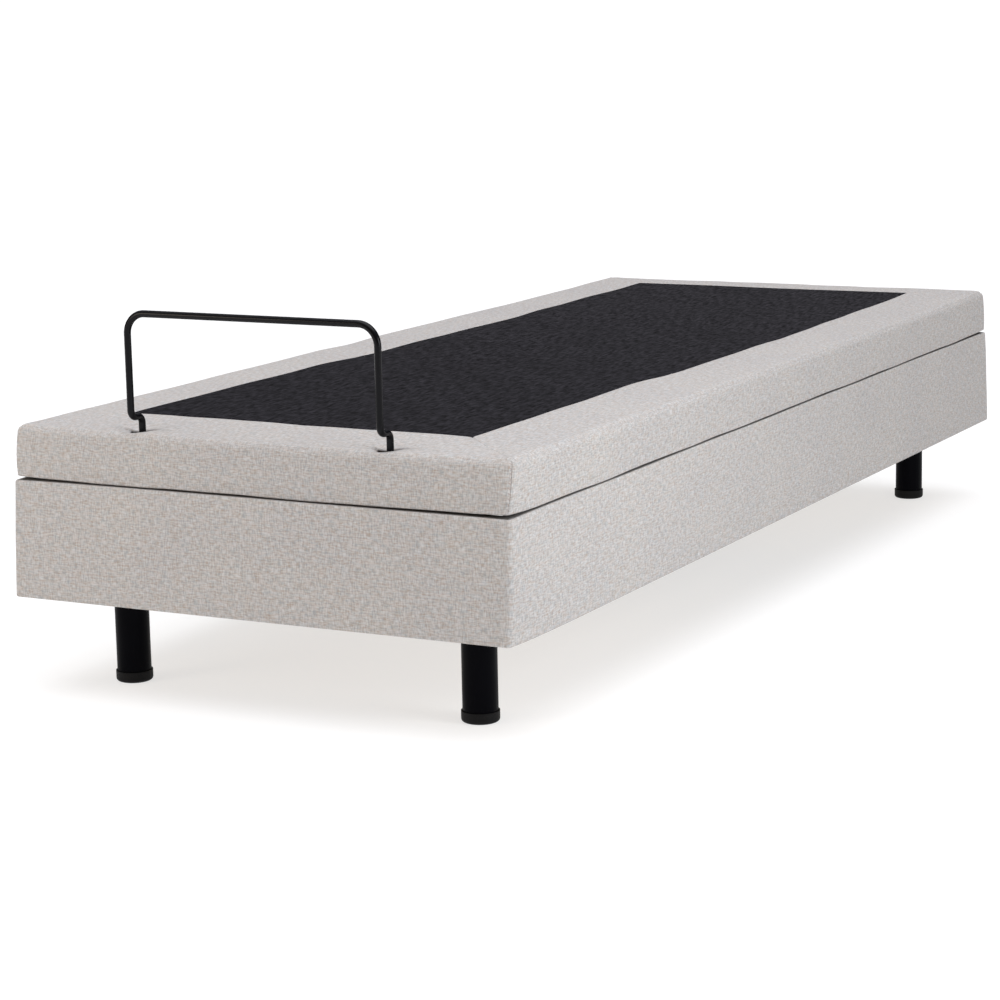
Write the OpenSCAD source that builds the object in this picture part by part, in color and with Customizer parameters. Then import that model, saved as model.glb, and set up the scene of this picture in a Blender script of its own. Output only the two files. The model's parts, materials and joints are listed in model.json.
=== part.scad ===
// Adjustable bed base: an upholstered box on four legs, with a motorised deck in four hinged sections.
// X runs across the bed, +Y points to the head end, Z is up, and the origin is on the floor below the centre.

/* [Box] */
// Width over the upholstery
box_w = 800; // [700:10:1000]
// Length over the upholstery
box_len = 2000; // [1900:10:2100]
// Height of the upholstered box, without the deck
box_h = 172; // [166:1:200]
// Thickness of the wooden rails of the box
rail_t = 18; // [15:1:22]
// Thickness of the padded cover round the box
cover_t = 4; // [3:1:6]

/* [Legs] */
// Height of the box above the floor
leg_h = 140; // [100:5:200]
// Diameter of a leg
leg_d = 50; // [40:1:60]
// Distance of a leg's axis from the middle, across the bed
leg_x = 287; // [270:1:300]
// Distance of a leg's axis from the middle, along the bed
leg_y = 883; // [860:1:900]
// Diameter of a foot cap
cap_d = 54; // [52:1:64]
// Height of a foot cap
cap_h = 16; // [12:1:24]

/* [Deck] */
// Height of the padded deck
deck_h = 76; // [70:1:90]
// Gap between the box and the deck
split_gap = 6; // [1:0.5:8]
// Amount that each end of the deck stands back from the box
deck_setback = 4; // [2:1:8]
// Thickness of the plywood boards
board_t = 15; // [12:1:18]
// Radius of the deck's upper edges
edge_r = 16; // [10:1:20]
// Radius of the upright corners of box and deck
corner_r = 10; // [8:1:20]
// Width of the plain border beside the dark panel
border_side = 120; // [100:5:150]
// Width of the plain border at the foot end
border_foot = 139; // [100:1:160]
// Width of the plain border at the head end
border_head = 103; // [100:1:160]

/* [Sections] */
// Position of the back hinge along the bed
back_hinge_y = 275; // [260:5:290]
// Position of the thigh hinge along the bed
thigh_hinge_y = 30; // [20:5:40]
// Position of the knee hinge along the bed
knee_y = -360; // [-370:5:-350]
// Largest angle of the back section
back_max = 60; // [40:5:60]
// Largest angle of the thigh section
thigh_max = 35; // [20:5:35]

/* [Retainer bar] */
// Diameter of the bar
bar_d = 10; // [9:0.5:12]
// Distance of an upright from the middle
bar_x = 200; // [180:5:220]
// Height of the top run above the deck
bar_rise = 162; // [120:1:180]
// Radius of the two top bends, on the bar's axis
bar_bend_r = 29; // [20:1:40]

/* [Hidden] */
$fn = 64;
eps = 0.5;
clearance = 0.05;

// Heights
box_z0 = leg_h;
split_z = leg_h + box_h;
deck_z0 = split_z + split_gap;
deck_z1 = deck_z0 + deck_h;
skin_t = 1.5;
board_z0 = deck_z0 + skin_t;
board_z1 = board_z0 + board_t;
foam_z1 = deck_z1 - skin_t;
tube = 20;
hinge_z = board_z0 - tube / 2;
deck_rail_end = 950;

// Box shell
half_w = box_w / 2;
half_len = box_len / 2;
deck_half_len = half_len - deck_setback;
rail_out_x = half_w - cover_t;
rail_out_y = half_len - cover_t;
rail_in_x = rail_out_x - rail_t;
rail_in_y = rail_out_y - rail_t;
rail_corner_r = corner_r - cover_t;
rail_z0 = box_z0 + cover_t;
rail_z1 = split_z - cover_t;
hem_w = 24;
plate_w = 150;
plate_t = 30;

// Steel frame inside the box
frame_w = 20;
frame_h = 40;
frame_z0 = 232;
frame_z1 = frame_z0 + frame_h;
frame_in_x = rail_in_x - frame_w;
frame_end_gap = 2;
cross_w = 30;
end_cross_y = 905;
back_drive_y = 70;
leg_drive_y = 235;
tube_wall = 1.5;
bolt_ys = [-780, -300, 440, 780];

// Rails of the deck frames: the moving inner pair and the outer pair beside it
inner_rail_x = 280;
outer_rail_x = 302;
pin_r = 5.95;
pin_bore_r = pin_r + clearance;
solid_end = 26;
board_setback = 16;
knee_gap = 1;
board_side_gap = 12;

// Lifting shafts: each turns in two bearings and pushes a pair of rollers under the deck rails
roller_r = 20;
roller_w = 20;
roller_gap = 0.2;
roller_drop = tube / 2 + roller_r + roller_gap;
shaft_r = 17;
shaft_half = 350;
arm_t = 8;
arm_x = inner_rail_x - roller_w / 2 - arm_t - 2;
bearing_t = 22;
back_shaft_off = [40, -60];
back_arm_len = 300;
back_arm_half_h = 17;
leg_shaft_off = [150, -75];
leg_arm_len = 140;
leg_arm_half_h = 15;

// Angle of a lift arm that holds its roller under a deck raised by a given angle
function arm_angle(lift, off, len) =
    lift + asin((-roller_drop + off[0] * sin(lift) - off[1] * cos(lift)) / len);

back_arm_a0 = arm_angle(0, back_shaft_off, back_arm_len);
back_arm_sweep = arm_angle(back_max, back_shaft_off, back_arm_len) - back_arm_a0;
leg_arm_a0 = arm_angle(0, leg_shaft_off, leg_arm_len);
leg_arm_sweep = arm_angle(thigh_max, leg_shaft_off, leg_arm_len) - leg_arm_a0;
back_shaft = [back_hinge_y + back_shaft_off[0], hinge_z + back_shaft_off[1]];
leg_shaft = [thigh_hinge_y - leg_shaft_off[0], hinge_z + leg_shaft_off[1]];

// Drive levers: a cross pin on the push rod works in a radial slot
back_lever_h = 64;
leg_lever_h = 54;
back_slot_play = 1.9;
leg_slot_play = 2.6;
lever_t = 6;
lever_half_w = 17;
back_drive_x = -100;
leg_drive_x = 100;
back_rod_z = back_shaft[1] - back_lever_h;
leg_rod_z = leg_shaft[1] - leg_lever_h;
back_rod_y0 = back_shaft[0] - back_lever_h * tan(back_arm_sweep / 2);
leg_rod_y0 = leg_shaft[0] + leg_lever_h * tan(leg_arm_sweep / 2);

// Linear actuators
rod_r = 8;
actuator_tube_r = 14;
gearbox = [60, 50, 66];
tongue_len = 22;
motor_r = 21;
motor_len = 90;
motor_off = 46;
back_gearbox_y = back_drive_y + tongue_len;
leg_gearbox_y = leg_drive_y - tongue_len;
back_tube_end = 240;
leg_tube_end = -36;

// Link bars that keep the calf section level: pivots stand off the two deck hinges by the same step
link_off = [-160, -34.5];
link_x = 325;
link_t = 6;
link_half_h = 8;
link_base = [thigh_hinge_y + link_off[0], hinge_z + link_off[1]];
link_calf = [knee_y + link_off[0], hinge_z + link_off[1]];
lug_t = 6;

// Control box and leads
control = [56, 160, 50];
control_y = 560;
control_z = 221;
lead_r = 3;
lead_x = 326;
lead_pitch = 14;
lead_z = 205;
lead_bend_r = 15;

// Retainer bar
bar_r = bar_d / 2;
bar_y = -960;
bar_jog = 26;
bar_jog_z = deck_z1 + 15;
jog_bend_r = 11;
bar_z0 = board_z1 + 4;
bar_top_z = deck_z1 + bar_rise;
socket_r = 11;
socket_z1 = deck_z1 - 18;
socket_plate = 40;
slit_r = bar_r + 0.7;

// Colours
linen = [0.80, 0.77, 0.74];
charcoal = [0.20, 0.20, 0.22];
black = [0.07, 0.07, 0.08];
pine = [0.82, 0.68, 0.48];
plywood = [0.78, 0.65, 0.47];
cream = [0.93, 0.90, 0.80];
frame_grey = [0.30, 0.31, 0.33];
bright = [0.72, 0.73, 0.75];
nylon = [0.88, 0.88, 0.86];
plastic_grey = [0.25, 0.26, 0.28];

// ---- Shared shapes ----

// A block given by its lowest and highest corners
module block(lo, hi) {
    translate(lo) cube(hi - lo);
}

// A cylinder along X from x0 to x1 through a point of the YZ plane
module rod_x(r, x0, x1, p) {
    translate([x0, p[0], p[1]]) rotate([0, 90, 0]) cylinder(r = r, h = x1 - x0);
}

// A cylinder along Y from y0 to y1
module rod_y(r, y0, y1, x, z) {
    translate([x, y0, z]) rotate([-90, 0, 0]) cylinder(r = r, h = y1 - y0);
}

module both_sides() {
    for (side = [0, 1]) mirror([side, 0, 0]) children();
}

module at_corners(x, y) {
    for (sx = [-1, 1]) for (sy = [-1, 1]) translate([sx * x, sy * y, 0]) children();
}

// A rectangle with round corners, centred
module round_rect(size, r) {
    square([size[0] - 2 * r, size[1]], center = true);
    square([size[0], size[1] - 2 * r], center = true);
    for (sx = [-1, 1]) for (sy = [-1, 1])
        translate([sx * (size[0] / 2 - r), sy * (size[1] / 2 - r)]) circle(r = r);
}

// A square tube along X, centred on its axis
module tube_x(x0, x1, y, z, w, h) {
    difference() {
        block([x0, y - w / 2, z - h / 2], [x1, y + w / 2, z + h / 2]);
        block([x0 - eps, y - w / 2 + tube_wall, z - h / 2 + tube_wall],
              [x1 + eps, y + w / 2 - tube_wall, z + h / 2 - tube_wall]);
    }
}

// A deck rail along Y: a square tube with a solid round end at each hinge and an open end elsewhere
module deck_rail(x, y0, y1, hinge_low, hinge_high) {
    difference() {
        union() {
            block([x - tube / 2, y0, hinge_z - tube / 2], [x + tube / 2, y1, hinge_z + tube / 2]);
            if (hinge_low) rod_x(tube / 2, x - tube / 2, x + tube / 2, [y0, hinge_z]);
            if (hinge_high) rod_x(tube / 2, x - tube / 2, x + tube / 2, [y1, hinge_z]);
        }
        block([x - tube / 2 + tube_wall, y0 + (hinge_low ? solid_end : -eps), hinge_z - tube / 2 + tube_wall],
              [x + tube / 2 - tube_wall, y1 - (hinge_high ? solid_end : -eps), hinge_z + tube / 2 - tube_wall]);
        if (hinge_low) rod_x(pin_bore_r, x - tube, x + tube, [y0, hinge_z]);
        if (hinge_high) rod_x(pin_bore_r, x - tube, x + tube, [y1, hinge_z]);
    }
}

// ---- Deck sections ----

// Profile across the bed with rounded upper edges, set in from the outside by a skin thickness
module deck_profile(half, inset, z0) {
    r = edge_r - inset;
    w = half - inset;
    z1 = deck_z1 - inset;
    translate([-w, z0]) square([2 * w, z1 - r - z0]);
    translate([-(w - r), z0]) square([2 * (w - r), z1 - z0]);
    for (s = [-1, 1]) translate([s * (w - r), z1 - r]) circle(r = r);
}

// The whole deck as one block with rounded edges and corners
module deck_body(inset, z0) {
    intersection() {
        translate([0, half_len, 0]) rotate([90, 0, 0])
            linear_extrude(box_len) deck_profile(half_w, inset, z0);
        translate([-half_w, 0, 0]) rotate([90, 0, 90])
            linear_extrude(box_w) deck_profile(deck_half_len, inset, z0);
        translate([0, 0, z0]) linear_extrude(deck_h)
            round_rect([box_w - 2 * inset, 2 * (deck_half_len - inset)], corner_r);
    }
}

// Space on one side of a hinge, behind a plane that leans back by half the fold angle
module beyond_hinge(y, lean, dir) {
    reach = 1600;
    translate([-half_w - 10, y, hinge_z]) rotate([-dir * lean, 0, 0])
        translate([0, dir > 0 ? knee_gap : -knee_gap - reach, -reach]) cube([box_w + 20, reach, 2 * reach]);
}

// Clips its children to one section of the deck
module back_part() {
    intersection() {
        children();
        beyond_hinge(back_hinge_y, back_max / 2, 1);
    }
}

module seat_part() {
    intersection() {
        children();
        beyond_hinge(back_hinge_y, back_max / 2, -1);
        beyond_hinge(thigh_hinge_y, thigh_max / 2, 1);
    }
}

module thigh_part() {
    intersection() {
        children();
        beyond_hinge(thigh_hinge_y, thigh_max / 2, -1);
        beyond_hinge(knee_y, 0, 1);
    }
}

module calf_part() {
    intersection() {
        children();
        beyond_hinge(knee_y, 0, -1);
    }
}

// Foam cap over the boards, with its flange down their edges
module deck_foam() {
    difference() {
        deck_body(skin_t, board_z0);
        block([-half_w + board_side_gap, -deck_half_len + board_side_gap, board_z0 - eps],
              [half_w - board_side_gap, deck_half_len - board_side_gap, board_z1]);
        both_sides() {
            translate([bar_x, bar_y, board_z1 - eps]) cylinder(r = socket_r + 0.3, h = deck_h);
            block([bar_x - socket_plate / 2 - 2, bar_y - 24, board_z1 - eps],
                  [bar_x + socket_plate / 2 + 2, bar_y + 22, board_z1 + 2.3]);
        }
    }
}

// Outline of the dark panel in the middle of the deck
module grip_area(z0, z1) {
    block([-half_w + border_side, -deck_half_len + border_foot, z0],
          [half_w - border_side, deck_half_len - border_head, z1]);
}

// Fabric skin over the foam, open below except for a hem, and open where the dark panel is sewn in
module deck_cover() {
    difference() {
        deck_body(0, deck_z0);
        deck_body(skin_t, board_z0);
        block([-half_w + 40, -deck_half_len + 40, deck_z0 - eps],
              [half_w - 40, deck_half_len - 40, board_z0 + eps]);
        grip_area(foam_z1 - eps, deck_z1 + eps);
        both_sides() translate([bar_x, bar_y, foam_z1 - eps]) cylinder(r = slit_r, h = 5);
    }
}

module deck_board(y0, y1) {
    block([-half_w + board_side_gap, y0, board_z0], [half_w - board_side_gap, y1, board_z1]);
}

module deck_crossbars(half, ys) {
    for (y = ys) tube_x(-half, half, y, hinge_z, tube, tube);
}

module back_foam() { color(cream) back_part() deck_foam(); }
module seat_foam() { color(cream) seat_part() deck_foam(); }
module thigh_foam() { color(cream) thigh_part() deck_foam(); }
module calf_foam() { color(cream) calf_part() deck_foam(); }

module back_cover() { color(linen) back_part() deck_cover(); }
module seat_cover() { color(linen) seat_part() deck_cover(); }
module thigh_cover() { color(linen) thigh_part() deck_cover(); }
module calf_cover() { color(linen) calf_part() deck_cover(); }

module back_grip() { color(charcoal) back_part() grip_area(foam_z1, deck_z1); }
module seat_grip() { color(charcoal) seat_part() grip_area(foam_z1, deck_z1); }
module thigh_grip() { color(charcoal) thigh_part() grip_area(foam_z1, deck_z1); }
module calf_grip() { color(charcoal) calf_part() grip_area(foam_z1, deck_z1); }

module back_board() {
    color(plywood) deck_board(back_hinge_y + board_setback, deck_half_len - board_side_gap);
}

module seat_board() {
    color(plywood) deck_board(thigh_hinge_y + board_setback, back_hinge_y - board_setback);
}

module thigh_board() {
    color(plywood) deck_board(knee_y + knee_gap, thigh_hinge_y - board_setback);
}

module calf_board() {
    color(plywood) deck_board(-deck_half_len + board_side_gap, knee_y - knee_gap);
}

module back_rails() {
    color(frame_grey) both_sides() deck_rail(inner_rail_x, back_hinge_y, deck_rail_end, true, false);
}

module thigh_rails() {
    color(frame_grey) both_sides() deck_rail(inner_rail_x, knee_y, thigh_hinge_y, true, true);
}

// Seat rails, each with two short posts that stand on the drive crossbars
module seat_rails() {
    color(frame_grey) both_sides() {
        deck_rail(outer_rail_x, thigh_hinge_y, back_hinge_y, true, true);
        for (y = [back_drive_y, leg_drive_y])
            block([outer_rail_x - tube / 2, y - tube / 2, frame_z1],
                  [outer_rail_x + tube / 2, y + tube / 2, hinge_z - tube / 2 + tube_wall / 2]);
    }
}

// Calf rails, each with a hanging lug for the link bar
module calf_rails() {
    lug_x0 = outer_rail_x + tube / 2;
    lug_half = 14;
    color(frame_grey) both_sides() difference() {
        union() {
            deck_rail(outer_rail_x, -deck_rail_end, knee_y, false, true);
            block([lug_x0 - eps, link_calf[0] - lug_half, link_calf[1]],
                  [lug_x0 + lug_t, link_calf[0] + lug_half, hinge_z + tube / 2]);
            rod_x(lug_half, lug_x0 - eps, lug_x0 + lug_t, link_calf);
        }
        rod_x(pin_bore_r, lug_x0 - tube, lug_x0 + tube, link_calf);
    }
}

module back_crossbars() { color(frame_grey) deck_crossbars(inner_rail_x - tube / 2, [420, 690, 940]); }
module seat_crossbars() { color(frame_grey) deck_crossbars(outer_rail_x - tube / 2, [100, 205]); }
module thigh_crossbars() { color(frame_grey) deck_crossbars(inner_rail_x - tube / 2, [-320, -50]); }
module calf_crossbars() { color(frame_grey) deck_crossbars(outer_rail_x - tube / 2, [-940, -690, -430]); }

// A hinge pin with a head outside and a clip inside
module hinge_pin(y) {
    x0 = inner_rail_x - tube / 2 - 4;
    x1 = outer_rail_x + tube / 2 + 4;
    rod_x(pin_r, x0, x1, [y, hinge_z]);
    rod_x(9, x1 - 3.5, x1, [y, hinge_z]);
    rod_x(8, x0, x0 + 2.5, [y, hinge_z]);
}

module hinge_pins() {
    color(bright) both_sides() for (y = [back_hinge_y, thigh_hinge_y]) hinge_pin(y);
}

module knee_pins() {
    color(bright) both_sides() hinge_pin(knee_y);
}

// ---- Box ----

// Everything inside the eased corners of the four box rails
module rail_outline() {
    translate([0, 0, rail_z0]) linear_extrude(rail_z1 - rail_z0)
        round_rect([2 * rail_out_x, 2 * rail_out_y], rail_corner_r);
}

module side_rail() {
    difference() {
        intersection() {
            block([rail_in_x, -rail_out_y, rail_z0], [rail_out_x, rail_out_y, rail_z1]);
            rail_outline();
        }
        for (y = bolt_ys) rod_x(4.05, rail_in_x - eps, rail_in_x + 13, [y, frame_z0 + frame_h / 2]);
    }
}

module side_rail_left() { color(pine) mirror([1, 0, 0]) side_rail(); }
module side_rail_right() { color(pine) side_rail(); }
module foot_rail() { color(pine) block([-rail_in_x, -rail_out_y, rail_z0], [rail_in_x, -rail_in_y, rail_z1]); }
module head_rail() { color(pine) block([-rail_in_x, rail_in_y, rail_z0], [rail_in_x, rail_out_y, rail_z1]); }

// Corner plates that the legs are bolted to
module corner_plates() {
    color(plywood) difference() {
        at_corners(rail_in_x - plate_w / 2, rail_in_y - plate_w / 2)
            translate([-plate_w / 2, -plate_w / 2, rail_z0]) cube([plate_w, plate_w, plate_t]);
        at_corners(leg_x, leg_y) translate([0, 0, rail_z0 - eps]) cylinder(r = 5.05, h = plate_t + 2 * eps);
    }
}

// Padded fabric round the outside of the box, turned over its upper and lower edges
module surround_cover() {
    color(linen) difference() {
        translate([0, 0, box_z0]) linear_extrude(box_h) round_rect([box_w, box_len], corner_r);
        rail_outline();
        block([-rail_out_x + hem_w, -rail_out_y + hem_w, box_z0 - eps],
              [rail_out_x - hem_w, rail_out_y - hem_w, split_z + eps]);
    }
}

// A leg: a steel tube with a closed top that takes the bolt
module leg(sx, sy) {
    top = rail_z0;
    color(black) translate([sx * leg_x, sy * leg_y, 0]) difference() {
        translate([0, 0, 4]) cylinder(d = leg_d, h = top - 4);
        translate([0, 0, 4 - eps]) cylinder(d = leg_d - 4, h = top - 16);
        translate([0, 0, top - 20]) cylinder(r = 5.05, h = 30);
    }
}

module leg_foot_left() { leg(-1, -1); }
module leg_foot_right() { leg(1, -1); }
module leg_head_left() { leg(-1, 1); }
module leg_head_right() { leg(1, 1); }

// Foot caps: cups with a rounded lower edge that the legs stand in
module foot_caps() {
    r = cap_d / 2;
    low_r = 5;
    color(black) at_corners(leg_x, leg_y) difference() {
        rotate_extrude() {
            square([r - low_r, cap_h]);
            translate([0, low_r]) square([r, cap_h - low_r]);
            intersection() {
                translate([r - low_r, low_r]) circle(r = low_r);
                square([r, low_r]);
            }
        }
        translate([0, 0, 4]) cylinder(r = leg_d / 2 + clearance, h = cap_h);
    }
}

module leg_bolts() {
    color(bright) at_corners(leg_x, leg_y) {
        translate([0, 0, rail_z0 - 18]) cylinder(r = 5, h = 18 + plate_t);
        translate([0, 0, rail_z0 + plate_t]) cylinder(r = 9, h = 6.4, $fn = 6);
    }
}

// ---- Steel frame ----

module frame_rails() {
    mid_z = frame_z0 + frame_h / 2;
    end_y = rail_in_y - frame_end_gap;
    color(frame_grey) both_sides() difference() {
        block([frame_in_x, -end_y, frame_z0], [rail_in_x, end_y, frame_z1]);
        block([frame_in_x + tube_wall, -end_y - eps, frame_z0 + tube_wall],
              [rail_in_x - tube_wall, end_y + eps, frame_z1 - tube_wall]);
        for (y = bolt_ys) rod_x(4.05, frame_in_x - eps, rail_in_x + eps, [y, mid_z]);
    }
}

module frame_crossbars() {
    color(frame_grey) for (y = [-end_cross_y, back_drive_y, leg_drive_y, end_cross_y])
        tube_x(-frame_in_x, frame_in_x, y, frame_z0 + frame_h / 2, cross_w, frame_h);
}

// Coach bolts that hold the steel frame to the wooden side rails
module frame_bolts() {
    color(bright) both_sides() for (y = bolt_ys) {
        rod_x(4, frame_in_x, rail_in_x + 12, [y, frame_z0 + frame_h / 2]);
        translate([frame_in_x - 5, y, frame_z0 + frame_h / 2]) rotate([0, 90, 0])
            cylinder(r = 7.5, h = 5, $fn = 6);
    }
}

// Rubber blocks on the end crossbars that the lowered sections rest on
module rest_bumpers() {
    top = hinge_z - tube / 2 - 0.3;
    color(black) both_sides() {
        translate([inner_rail_x, end_cross_y, frame_z1]) cylinder(r = 12, h = top - frame_z1);
        translate([outer_rail_x, -end_cross_y, frame_z1]) cylinder(r = 12, h = top - frame_z1);
    }
}

// Bearing blocks of the two lifting shafts: the leg pair also carries the link pivots
module shaft_bearings() {
    x0 = frame_in_x - bearing_t;
    x1 = frame_in_x;
    half = 28;
    color(plastic_grey) both_sides() {
        difference() {
            block([x0, back_shaft[0] - half, back_shaft[1] - half], [x1, back_shaft[0] + half, back_shaft[1] + half]);
            rod_x(shaft_r + clearance, x0 - eps, x1 + eps, back_shaft);
        }
        difference() {
            block([x0, leg_shaft[0] - half, leg_shaft[1] - half], [x1, leg_shaft[0] + half, link_base[1] + 14]);
            rod_x(shaft_r + clearance, x0 - eps, x1 + eps, leg_shaft);
            rod_x(pin_bore_r, x0 - eps, x1 + eps, link_base);
        }
    }
}

// ---- Drives ----

// A hanging clevis under a crossbar with the pin that anchors an actuator
module bracket(x, y, z) {
    for (s = [-1, 1]) difference() {
        block([x + s * 16 - 3, y - 14, z - 14], [x + s * 16 + 3, y + 14, frame_z0]);
        rod_x(pin_bore_r, x + s * 16 - 5, x + s * 16 + 5, [y, z]);
    }
    rod_x(pin_r, x - 21, x + 21, [y, z]);
}

module actuator_brackets() {
    color(bright) {
        bracket(back_drive_x, back_drive_y, back_rod_z);
        bracket(leg_drive_x, leg_drive_y, leg_rod_z);
    }
}

// A gearbox housing that reaches over the motor, with a tongue to the anchor pin
module gearbox_case(x, y, z, dir, anchor_y, motor_side) {
    w = gearbox[0] + motor_off;
    mid_x = x + motor_side * motor_off / 2;
    difference() {
        union() {
            translate([mid_x, y + (dir > 0 ? gearbox[1] : 0), z]) rotate([90, 0, 0])
                linear_extrude(gearbox[1]) round_rect([w, gearbox[2]], 12);
            block([x - 12, min(y, anchor_y), z - 12], [x + 12, max(y, anchor_y), z + 12]);
            rod_x(12, x - 12, x + 12, [anchor_y, z]);
        }
        rod_x(pin_bore_r, x - 14, x + 14, [anchor_y, z]);
    }
}

module actuator_gearboxes() {
    color(plastic_grey) {
        gearbox_case(back_drive_x, back_gearbox_y, back_rod_z, 1, back_drive_y, -1);
        gearbox_case(leg_drive_x, leg_gearbox_y - gearbox[1], leg_rod_z, 1, leg_drive_y, 1);
    }
}

// Outer tubes of the actuators, bored for the push rods
module actuator_tubes() {
    color(bright) {
        difference() {
            rod_y(actuator_tube_r, back_gearbox_y + gearbox[1], back_tube_end, back_drive_x, back_rod_z);
            rod_y(rod_r + clearance, back_gearbox_y + gearbox[1] + 4, back_tube_end + eps,
                  back_drive_x, back_rod_z);
        }
        difference() {
            rod_y(actuator_tube_r, leg_tube_end, leg_gearbox_y - gearbox[1], leg_drive_x, leg_rod_z);
            rod_y(rod_r + clearance, leg_tube_end - eps, leg_gearbox_y - gearbox[1] - 4,
                  leg_drive_x, leg_rod_z);
        }
    }
}

module actuator_motors() {
    color(plastic_grey) {
        rod_y(motor_r, back_gearbox_y + gearbox[1], back_gearbox_y + gearbox[1] + motor_len,
              back_drive_x - motor_off, back_rod_z);
        rod_y(motor_r, leg_gearbox_y - gearbox[1] - motor_len, leg_gearbox_y - gearbox[1],
              leg_drive_x + motor_off, leg_rod_z);
    }
}

// A lift arm: shaft, two arms with roller pins, and the slotted drive lever
module lift_arm(shaft, dir, len, half_h, angle, drive_x, lever_h, sweep, play) {
    slot_end = lever_h / cos(sweep / 2);
    slot_r = pin_r + play;
    tip = slot_end + pin_r + 9;
    translate([0, shaft[0], shaft[1]]) {
        difference() {
            rod_x(shaft_r, -shaft_half, shaft_half, [0, 0]);
            rod_x(shaft_r - 3, -shaft_half - eps, shaft_half + eps, [0, 0]);
        }
        both_sides() rotate([dir * angle, 0, 0]) {
            difference() {
                union() {
                    block([arm_x, min(0, dir * len), -half_h], [arm_x + arm_t, max(0, dir * len), half_h]);
                    rod_x(half_h, arm_x, arm_x + arm_t, [dir * len, 0]);
                    rod_x(shaft_r + 5, arm_x, arm_x + arm_t, [0, 0]);
                }
                rod_x(shaft_r - 1, arm_x - eps, arm_x + arm_t + eps, [0, 0]);
            }
            rod_x(pin_r, arm_x + eps, inner_rail_x + roller_w / 2 + 4, [dir * len, 0]);
            rod_x(9, inner_rail_x + roller_w / 2 + 1, inner_rail_x + roller_w / 2 + 4, [dir * len, 0]);
        }
        rotate([-dir * sweep / 2, 0, 0]) for (s = [-1, 1]) difference() {
            union() {
                block([drive_x + s * 13 - lever_t / 2, -lever_half_w, -tip + lever_half_w],
                      [drive_x + s * 13 + lever_t / 2, lever_half_w, 0]);
                rod_x(lever_half_w, drive_x + s * 13 - lever_t / 2, drive_x + s * 13 + lever_t / 2,
                      [0, -tip + lever_half_w]);
                rod_x(shaft_r + 5, drive_x + s * 13 - lever_t / 2, drive_x + s * 13 + lever_t / 2, [0, 0]);
            }
            rod_x(shaft_r - 1, drive_x - 30, drive_x + 30, [0, 0]);
            rod_x(slot_r, drive_x - 30, drive_x + 30, [0, -lever_h + 1]);
            rod_x(slot_r, drive_x - 30, drive_x + 30, [0, -slot_end - 1]);
            block([drive_x - 30, -slot_r, -slot_end - 1], [drive_x + 30, slot_r, -lever_h + 1]);
        }
    }
}

module back_lift_arm() {
    color(frame_grey) lift_arm(back_shaft, 1, back_arm_len, back_arm_half_h, back_arm_a0,
                               back_drive_x, back_lever_h, back_arm_sweep, back_slot_play);
}

module leg_lift_arm() {
    color(frame_grey) lift_arm(leg_shaft, -1, leg_arm_len, leg_arm_half_h, leg_arm_a0,
                               leg_drive_x, leg_lever_h, leg_arm_sweep, leg_slot_play);
}

module rollers(shaft, dir, len, angle) {
    p = [shaft[0] + dir * len * cos(angle), shaft[1] + len * sin(angle)];
    x0 = inner_rail_x - roller_w / 2;
    both_sides() difference() {
        rod_x(roller_r, x0, x0 + roller_w, p);
        rod_x(pin_bore_r, x0 - eps, x0 + roller_w + eps, p);
    }
}

module back_rollers() { color(nylon) rollers(back_shaft, 1, back_arm_len, back_arm_a0); }
module leg_rollers() { color(nylon) rollers(leg_shaft, -1, leg_arm_len, leg_arm_a0); }

// A push rod with a flat eye and the cross pin that works in the lever's slot
module push_rod(x, z, tail_y, pin_y) {
    difference() {
        union() {
            rod_y(rod_r, min(tail_y, pin_y), max(tail_y, pin_y), x, z);
            rod_x(12, x - 9, x + 9, [pin_y, z]);
        }
        rod_x(pin_bore_r, x - 12, x + 12, [pin_y, z]);
    }
    rod_x(pin_r, x - 19, x + 19, [pin_y, z]);
}

module back_push_rod() {
    color(bright) push_rod(back_drive_x, back_rod_z, back_gearbox_y + gearbox[1] + 6, back_rod_y0);
}

module leg_push_rod() {
    color(bright) push_rod(leg_drive_x, leg_rod_z, leg_gearbox_y - gearbox[1] - 6, leg_rod_y0);
}

// Link bars with a stud at each end: one turns in the bearing block, the other in the calf lug
module link_bars() {
    x0 = link_x - link_t / 2;
    x1 = link_x + link_t / 2;
    color(bright) both_sides() {
        block([x0, link_calf[0], link_base[1] - link_half_h], [x1, link_base[0], link_base[1] + link_half_h]);
        rod_x(link_half_h, x0, x1, link_base);
        rod_x(link_half_h, x0, x1, link_calf);
        rod_x(pin_r, x0 + eps, frame_in_x - 4, link_base);
        rod_x(pin_r, outer_rail_x + tube / 2 - 3, x1 - eps, link_calf);
    }
}

// ---- Electrics ----

module control_box() {
    x1 = frame_in_x;
    x0 = x1 - control[0];
    lo = [x0, control_y - control[1] / 2, control_z - control[2] / 2];
    hi = [x1, control_y + control[1] / 2, control_z + control[2] / 2 - 3];
    color(plastic_grey) difference() {
        block(lo, hi);
        block(lo + [3, 3, 3], hi + [-3, -3, eps]);
        for (x = [lead_x, lead_x - lead_pitch]) rod_y(lead_r, lo[1] - eps, lo[1] + 4, x, lead_z);
        block([x0 + 12, hi[1] - 4, control_z - 14], [x0 + 40, hi[1] + eps, control_z + 6]);
    }
}

module control_lid() {
    x1 = frame_in_x;
    x0 = x1 - control[0];
    top = control_z + control[2] / 2;
    color(black) block([x0, control_y - control[1] / 2, top - 3], [x1, control_y + control[1] / 2, top]);
}

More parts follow.
